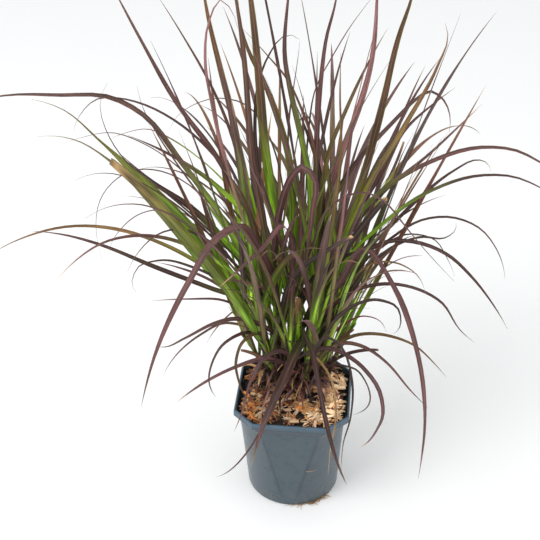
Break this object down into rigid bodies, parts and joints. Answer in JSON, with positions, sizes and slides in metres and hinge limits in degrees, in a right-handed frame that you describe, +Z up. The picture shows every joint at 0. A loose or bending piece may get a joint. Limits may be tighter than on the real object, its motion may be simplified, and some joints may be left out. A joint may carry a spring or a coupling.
{
  "type": "potted purple fountain grass",
  "caption": "Clump of long arching purple, bronze and green grass blades in a blue-grey nursery pot with cut corners, filled with potting mix and wood-chip mulch.",
  "frame": {"origin": "middle of the pot's base, on the surface that the pot stands on", "axes": "+Z up along the pot, -Y to the front, +X to the right seen from the front"},
  "size_m": [0.7304, 0.7555, 0.7592],
  "materials": {
    "pot": "satin",
    "potting_mix": "matte",
    "chip_mulch": "matte",
    "leaves": "satin"
  },
  "bodies": {
    "root": {"pot": "pot", "potting_mix": "potting_mix", "chip_mulch": "chip_mulch", "leafy_stem_01": "leaves", "leafy_stem_02": "leaves", "leafy_stem_03": "leaves", "leafy_stem_04": "leaves", "leafy_stem_05": "leaves", "leafy_stem_06": "leaves", "leafy_stem_07": "leaves", "leafy_stem_08": "leaves", "leafy_stem_09": "leaves", "leafy_stem_10": "leaves", "leafy_stem_11": "leaves", "leafy_stem_12": "leaves", "leafy_stem_13": "leaves", "leafy_stem_14": "leaves", "leafy_stem_15": "leaves", "leafy_stem_16": "leaves", "leafy_stem_17": "leaves", "leafy_stem_18": "leaves", "leafy_stem_19": "leaves", "leafy_stem_20": "leaves", "leafy_stem_21": "leaves", "leafy_stem_22": "leaves", "leafy_stem_23": "leaves", "leafy_stem_24": "leaves", "leafy_stem_25": "leaves", "leafy_stem_26": "leaves"}
  },
  "joints": []
}
